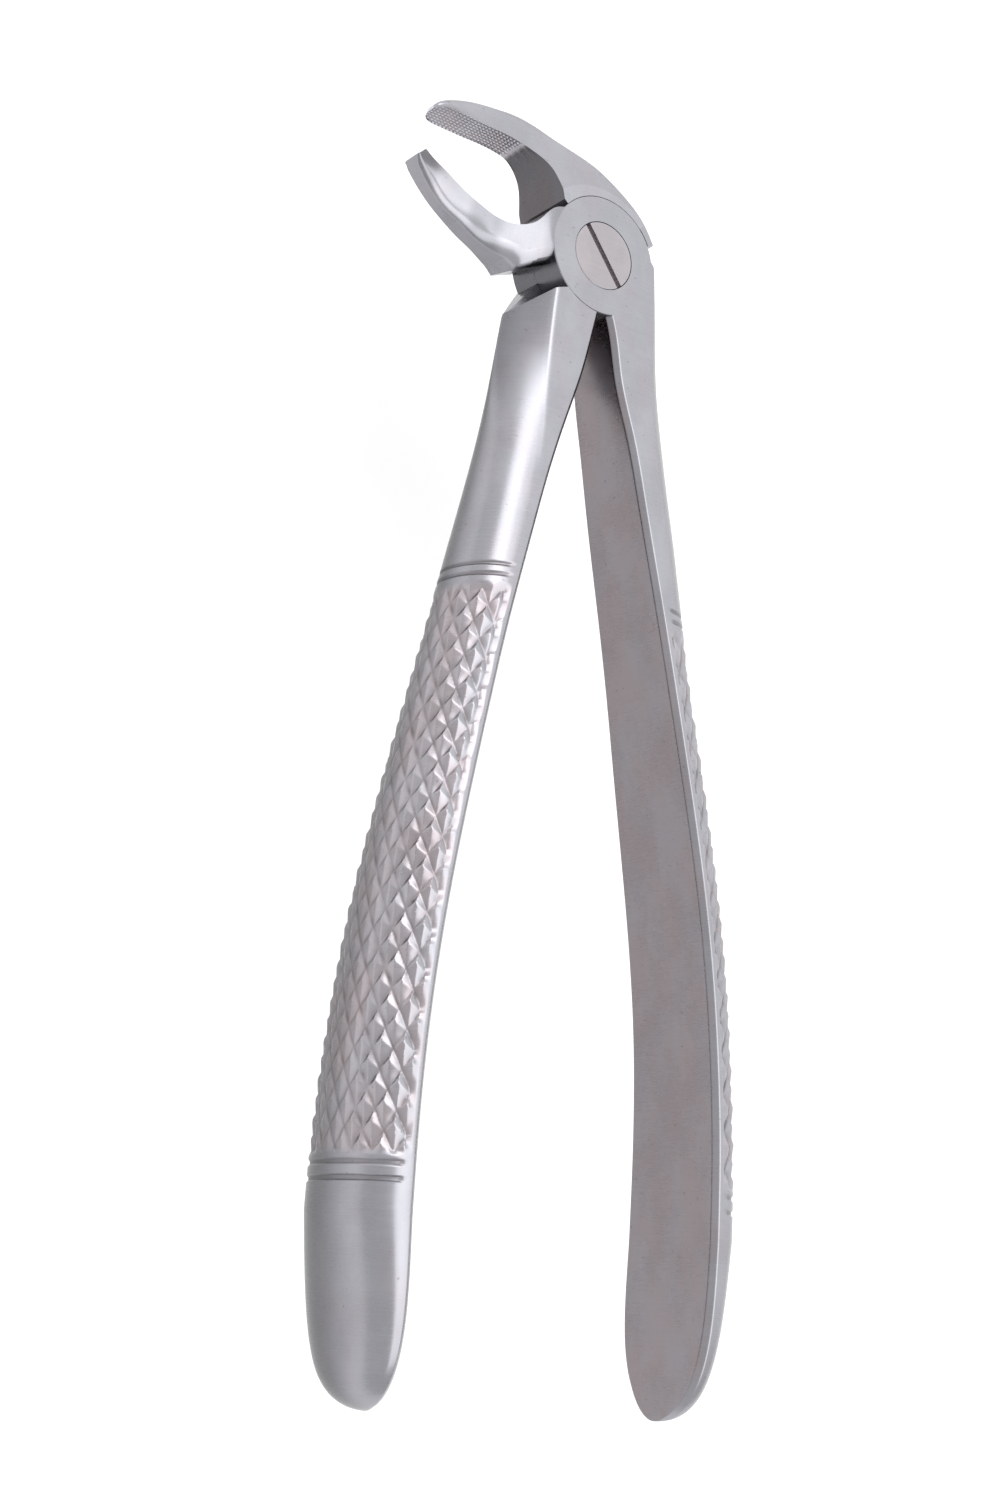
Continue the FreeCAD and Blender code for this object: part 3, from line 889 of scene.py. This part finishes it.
# ---- materials ----------------------------------------------------------------------------------
class Nodes:
    """Short ways to add and join a material's nodes."""

    def __init__(self, owner, shader="Principled BSDF"):
        owner.use_nodes = True
        self.tree = owner.node_tree
        self.shader = self.tree.nodes[shader]

    def put(self, socket, value):
        if isinstance(value, bpy.types.NodeSocket):
            self.tree.links.new(value, socket)
        else:
            socket.default_value = value

    def add(self, kind, **values):
        node = self.tree.nodes.new(kind)
        for name, value in values.items():
            setattr(node, name, value)
        return node

    def attribute(self, name):
        return self.add("ShaderNodeAttribute", attribute_name=name).outputs["Fac"]

    def maths(self, operation, first, second, third=0.0):
        node = self.add("ShaderNodeMath", operation=operation)
        for socket, value in zip(node.inputs, (first, second, third)):
            self.put(socket, value)
        return node.outputs[0]

    def spread(self, value, low, high):
        """A value from nought to 1 spread between low and high."""
        return self.maths("MULTIPLY_ADD", value, high - low, low)

    def noise(self, scale, detail=3.0, roughness=0.5):
        """Noise from nought to 1 with so many features a millimetre along each axis."""
        place = self.add("ShaderNodeTexCoord").outputs["Object"]
        mapping = self.add("ShaderNodeMapping")
        mapping.inputs["Scale"].default_value = tuple(each / MM for each in scale)
        self.put(mapping.inputs["Vector"], place)
        node = self.add("ShaderNodeTexNoise")
        node.inputs["Scale"].default_value = 1.0
        node.inputs["Detail"].default_value = detail
        node.inputs["Roughness"].default_value = roughness
        self.put(node.inputs["Vector"], mapping.outputs["Vector"])
        return node.outputs["Fac"]

    def ramp(self, value, low, high):
        """Nought below low, 1 above high and smooth between."""
        node = self.add("ShaderNodeMapRange", interpolation_type="SMOOTHSTEP")
        self.put(node.inputs["Value"], value)
        self.put(node.inputs["From Min"], low)
        self.put(node.inputs["From Max"], high)
        return node.outputs["Result"]

    def mix(self, share, first, second):
        node = self.add("ShaderNodeMix", data_type="RGBA")
        self.put(node.inputs["Factor"], share)
        self.put(node.inputs["A"], first)
        self.put(node.inputs["B"], second)
        return node.outputs["Result"]

    def scale_colour(self, colour, share):
        node = self.add("ShaderNodeVectorMath", operation="SCALE")
        self.put(node.inputs[0], colour)
        self.put(node.inputs["Scale"], share)
        return node.outputs[0]


# Features a millimetre along X, Y and Z of the brush lines, the clouds, the pits and the stain.
BRUSH_SCALE = (0.15, 4.0, 0.15)
CLOUD_SCALE = (0.16, 0.10, 0.16)
PIT_SCALE = (1.7, 1.7, 1.7)
STAIN_SCALE = (0.22, 0.12, 0.22)
# What each of them, a groove's grime and painted shade, and the painted shade of a glancing view make
# of the colour's brightness.
BRUSH_LIGHT = (0.94, 1.06)
CLOUD_LIGHT = (0.95, 1.05)
PIT_LIGHT = (1.0, 0.72)
GROOVE_GRIME_AND_SHADE = (1.0, 0.42)
GLANCING_SHADE = (1.04, 0.60)
GLANCING_BLEND = 0.25
# How far the stain and a groove's grime move the tint from cool to warm.
STAIN_TINT = (-0.28, 0.22)
GROOVE_TINT = 0.5
ROUGHNESS = 0.28
BRUSH_ROUGHNESS = 0.06
CLOUD_ROUGHNESS = 0.05
GROOVE_ROUGHNESS = 0.2
BRUSH_RELIEF = 0.02
BRUSH_STRENGTH = 0.07


def steel(name, cool, warm):
    """Satin steel: brush lines across it, cloudy wear, grooves with grime and painted shade, painted
    shade at glancing views, and tones from attributes that are mostly painted shade and light.
    """
    material = bpy.data.materials.new(name)
    nodes = Nodes(material)
    lines = nodes.noise(BRUSH_SCALE, detail=4.0, roughness=0.7)
    clouds = nodes.noise(CLOUD_SCALE, detail=4.0, roughness=0.6)
    pits = nodes.ramp(nodes.noise(PIT_SCALE, detail=1.0), 0.74, 0.79)
    stain = nodes.ramp(nodes.noise(STAIN_SCALE, detail=4.0, roughness=0.6), 0.38, 0.62)
    # The groove attribute darkens the colour with grime and painted shade.
    groove = nodes.attribute("groove")
    # Painted shade where the surface is seen at a glancing angle.
    glancing_shade = nodes.add("ShaderNodeLayerWeight")
    glancing_shade.inputs["Blend"].default_value = GLANCING_BLEND
    light = nodes.spread(lines, *BRUSH_LIGHT)
    shares = [
        (nodes.ramp(clouds, 0.35, 0.65), CLOUD_LIGHT),
        # Painted shade and light from the tone attribute.
        (nodes.attribute("painted_shade_and_tone"), (1.0, 0.0)),
        (groove, GROOVE_GRIME_AND_SHADE),
        (pits, PIT_LIGHT),
        (glancing_shade.outputs["Facing"], GLANCING_SHADE),
    ]
    for share, span in shares:
        light = nodes.maths("MULTIPLY", light, nodes.spread(share, *span))
    tint = nodes.maths("ADD", nodes.attribute("warm"), nodes.maths("MULTIPLY", groove, GROOVE_TINT))
    tint = nodes.maths("ADD", tint, nodes.spread(stain, *STAIN_TINT))
    colour = nodes.mix(tint, (*cool, 1), (*warm, 1))
    nodes.put(nodes.shader.inputs["Base Color"], nodes.scale_colour(colour, light))
    nodes.shader.inputs["Metallic"].default_value = 1.0
    rough = nodes.spread(lines, -BRUSH_ROUGHNESS, BRUSH_ROUGHNESS)
    rough = nodes.maths("ADD", rough, nodes.spread(clouds, -CLOUD_ROUGHNESS, CLOUD_ROUGHNESS))
    rough = nodes.maths("ADD", rough, nodes.spread(groove, ROUGHNESS, ROUGHNESS + GROOVE_ROUGHNESS))
    nodes.put(nodes.shader.inputs["Roughness"], rough)
    bump = nodes.add("ShaderNodeBump")
    bump.inputs["Strength"].default_value = BRUSH_STRENGTH
    bump.inputs["Distance"].default_value = BRUSH_RELIEF * MM
    nodes.put(bump.inputs["Height"], lines)
    nodes.put(nodes.shader.inputs["Normal"], bump.outputs["Normal"])
    return material


# ---- stage -----------------------------------------------------------------------------------------
# The camera's place from the hinge in millimetres, and its picture's two directions.
CAMERA_PLACE = (-160.8, -132.4, 221.1)
CAMERA_RIGHT = Vector((0.81172, 0.06067, 0.58088))
CAMERA_DOWN = Vector((0.18867, -0.96851, -0.16248))
CAMERA_LENS = 55.47
# In metres: how far the floor lies below the object, and how far it reaches each way.
FLOOR_GAP = 0.03
FLOOR_REACH = 6.0
FLOOR_COLOUR = (0.84, 0.84, 0.84, 1)
FLOOR_ROUGHNESS = 0.9
# The room's light, from its darker side to its brighter one, and where the brighter one is.
ROOM_LIGHT = (0.88, 1.52)
ROOM_FACING = (0.46, 0.88, 0.10)
ROOM_SPAN = (-0.2, 0.75)


def add_camera():
    data = bpy.data.cameras.new("camera")
    data.lens = CAMERA_LENS
    data.sensor_width = 36
    data.clip_start = 0.01
    data.clip_end = 20
    item = bpy.data.objects.new("camera", data)
    up = -CAMERA_DOWN
    back = CAMERA_RIGHT.cross(up)
    turn = Matrix((CAMERA_RIGHT, up, back)).transposed()
    place = HINGE + Vector(CAMERA_PLACE) * MM
    item.matrix_world = Matrix.Translation(place) @ turn.to_4x4()
    bpy.context.scene.collection.objects.link(item)
    bpy.context.scene.camera = item


def add_floor(low):
    quarters = [(-1, -1), (1, -1), (1, 1), (-1, 1)]
    corners = [(x * FLOOR_REACH, y * FLOOR_REACH, low) for x, y in quarters]
    item = new_object("floor", corners, [[0, 1, 2, 3]])
    material = bpy.data.materials.new("floor_paper")
    material.use_nodes = True
    shader = material.node_tree.nodes["Principled BSDF"]
    shader.inputs["Base Color"].default_value = FLOOR_COLOUR
    shader.inputs["Roughness"].default_value = FLOOR_ROUGHNESS
    item.data.materials.append(material)


def add_light(name, place, size, power):
    """A soft box that faces the hinge from a place in metres from it."""
    data = bpy.data.lights.new(name, "AREA")
    data.shape = "RECTANGLE"
    data.size = size[0]
    data.size_y = size[1]
    data.energy = power
    item = bpy.data.objects.new(name, data)
    item.location = HINGE + Vector(place)
    item.rotation_euler = Vector(place).to_track_quat("Z", "Y").to_euler()
    bpy.context.scene.collection.objects.link(item)


def add_world():
    """A white room, brighter on the side past the beaks."""
    world = bpy.data.worlds.new("studio")
    nodes = Nodes(world, "Background")
    facing = nodes.add("ShaderNodeVectorMath", operation="DOT_PRODUCT")
    nodes.put(facing.inputs[0], nodes.add("ShaderNodeTexCoord").outputs["Generated"])
    facing.inputs[1].default_value = ROOM_FACING
    share = nodes.ramp(facing.outputs["Value"], *ROOM_SPAN)
    nodes.put(nodes.shader.inputs["Strength"], nodes.spread(share, *ROOM_LIGHT))
    nodes.shader.inputs["Color"].default_value = (1, 1, 1, 1)
    bpy.context.scene.world = world


# ---- scene -----------------------------------------------------------------------------------------
forging = steel("forging_steel", (0.330, 0.329, 0.358), (0.345, 0.300, 0.312))
screw_metal = steel("screw_steel", (0.365, 0.343, 0.360), (0.34, 0.312, 0.318))
finish_piece(back_half(), "back_forging", "back_half", "back", forging, half_tone(-1))
finish_piece(front_half(), "front_forging", "front_half", "front", forging, half_tone(1))
finish_piece(joint_screw(), "slotted_screw", "joint_screw", "back", screw_metal, screw_tone)

add_camera()
add_floor(cad_box[0][2] - FLOOR_GAP)
add_world()
add_light("wide_box", (0.10, -0.20, 1.0), (0.8, 1.9), 6.6)
add_light("key_box", (-0.37, 0.56, 0.75), (0.40, 0.52), 1.55)
bpy.context.scene.view_settings.view_transform = "Standard"
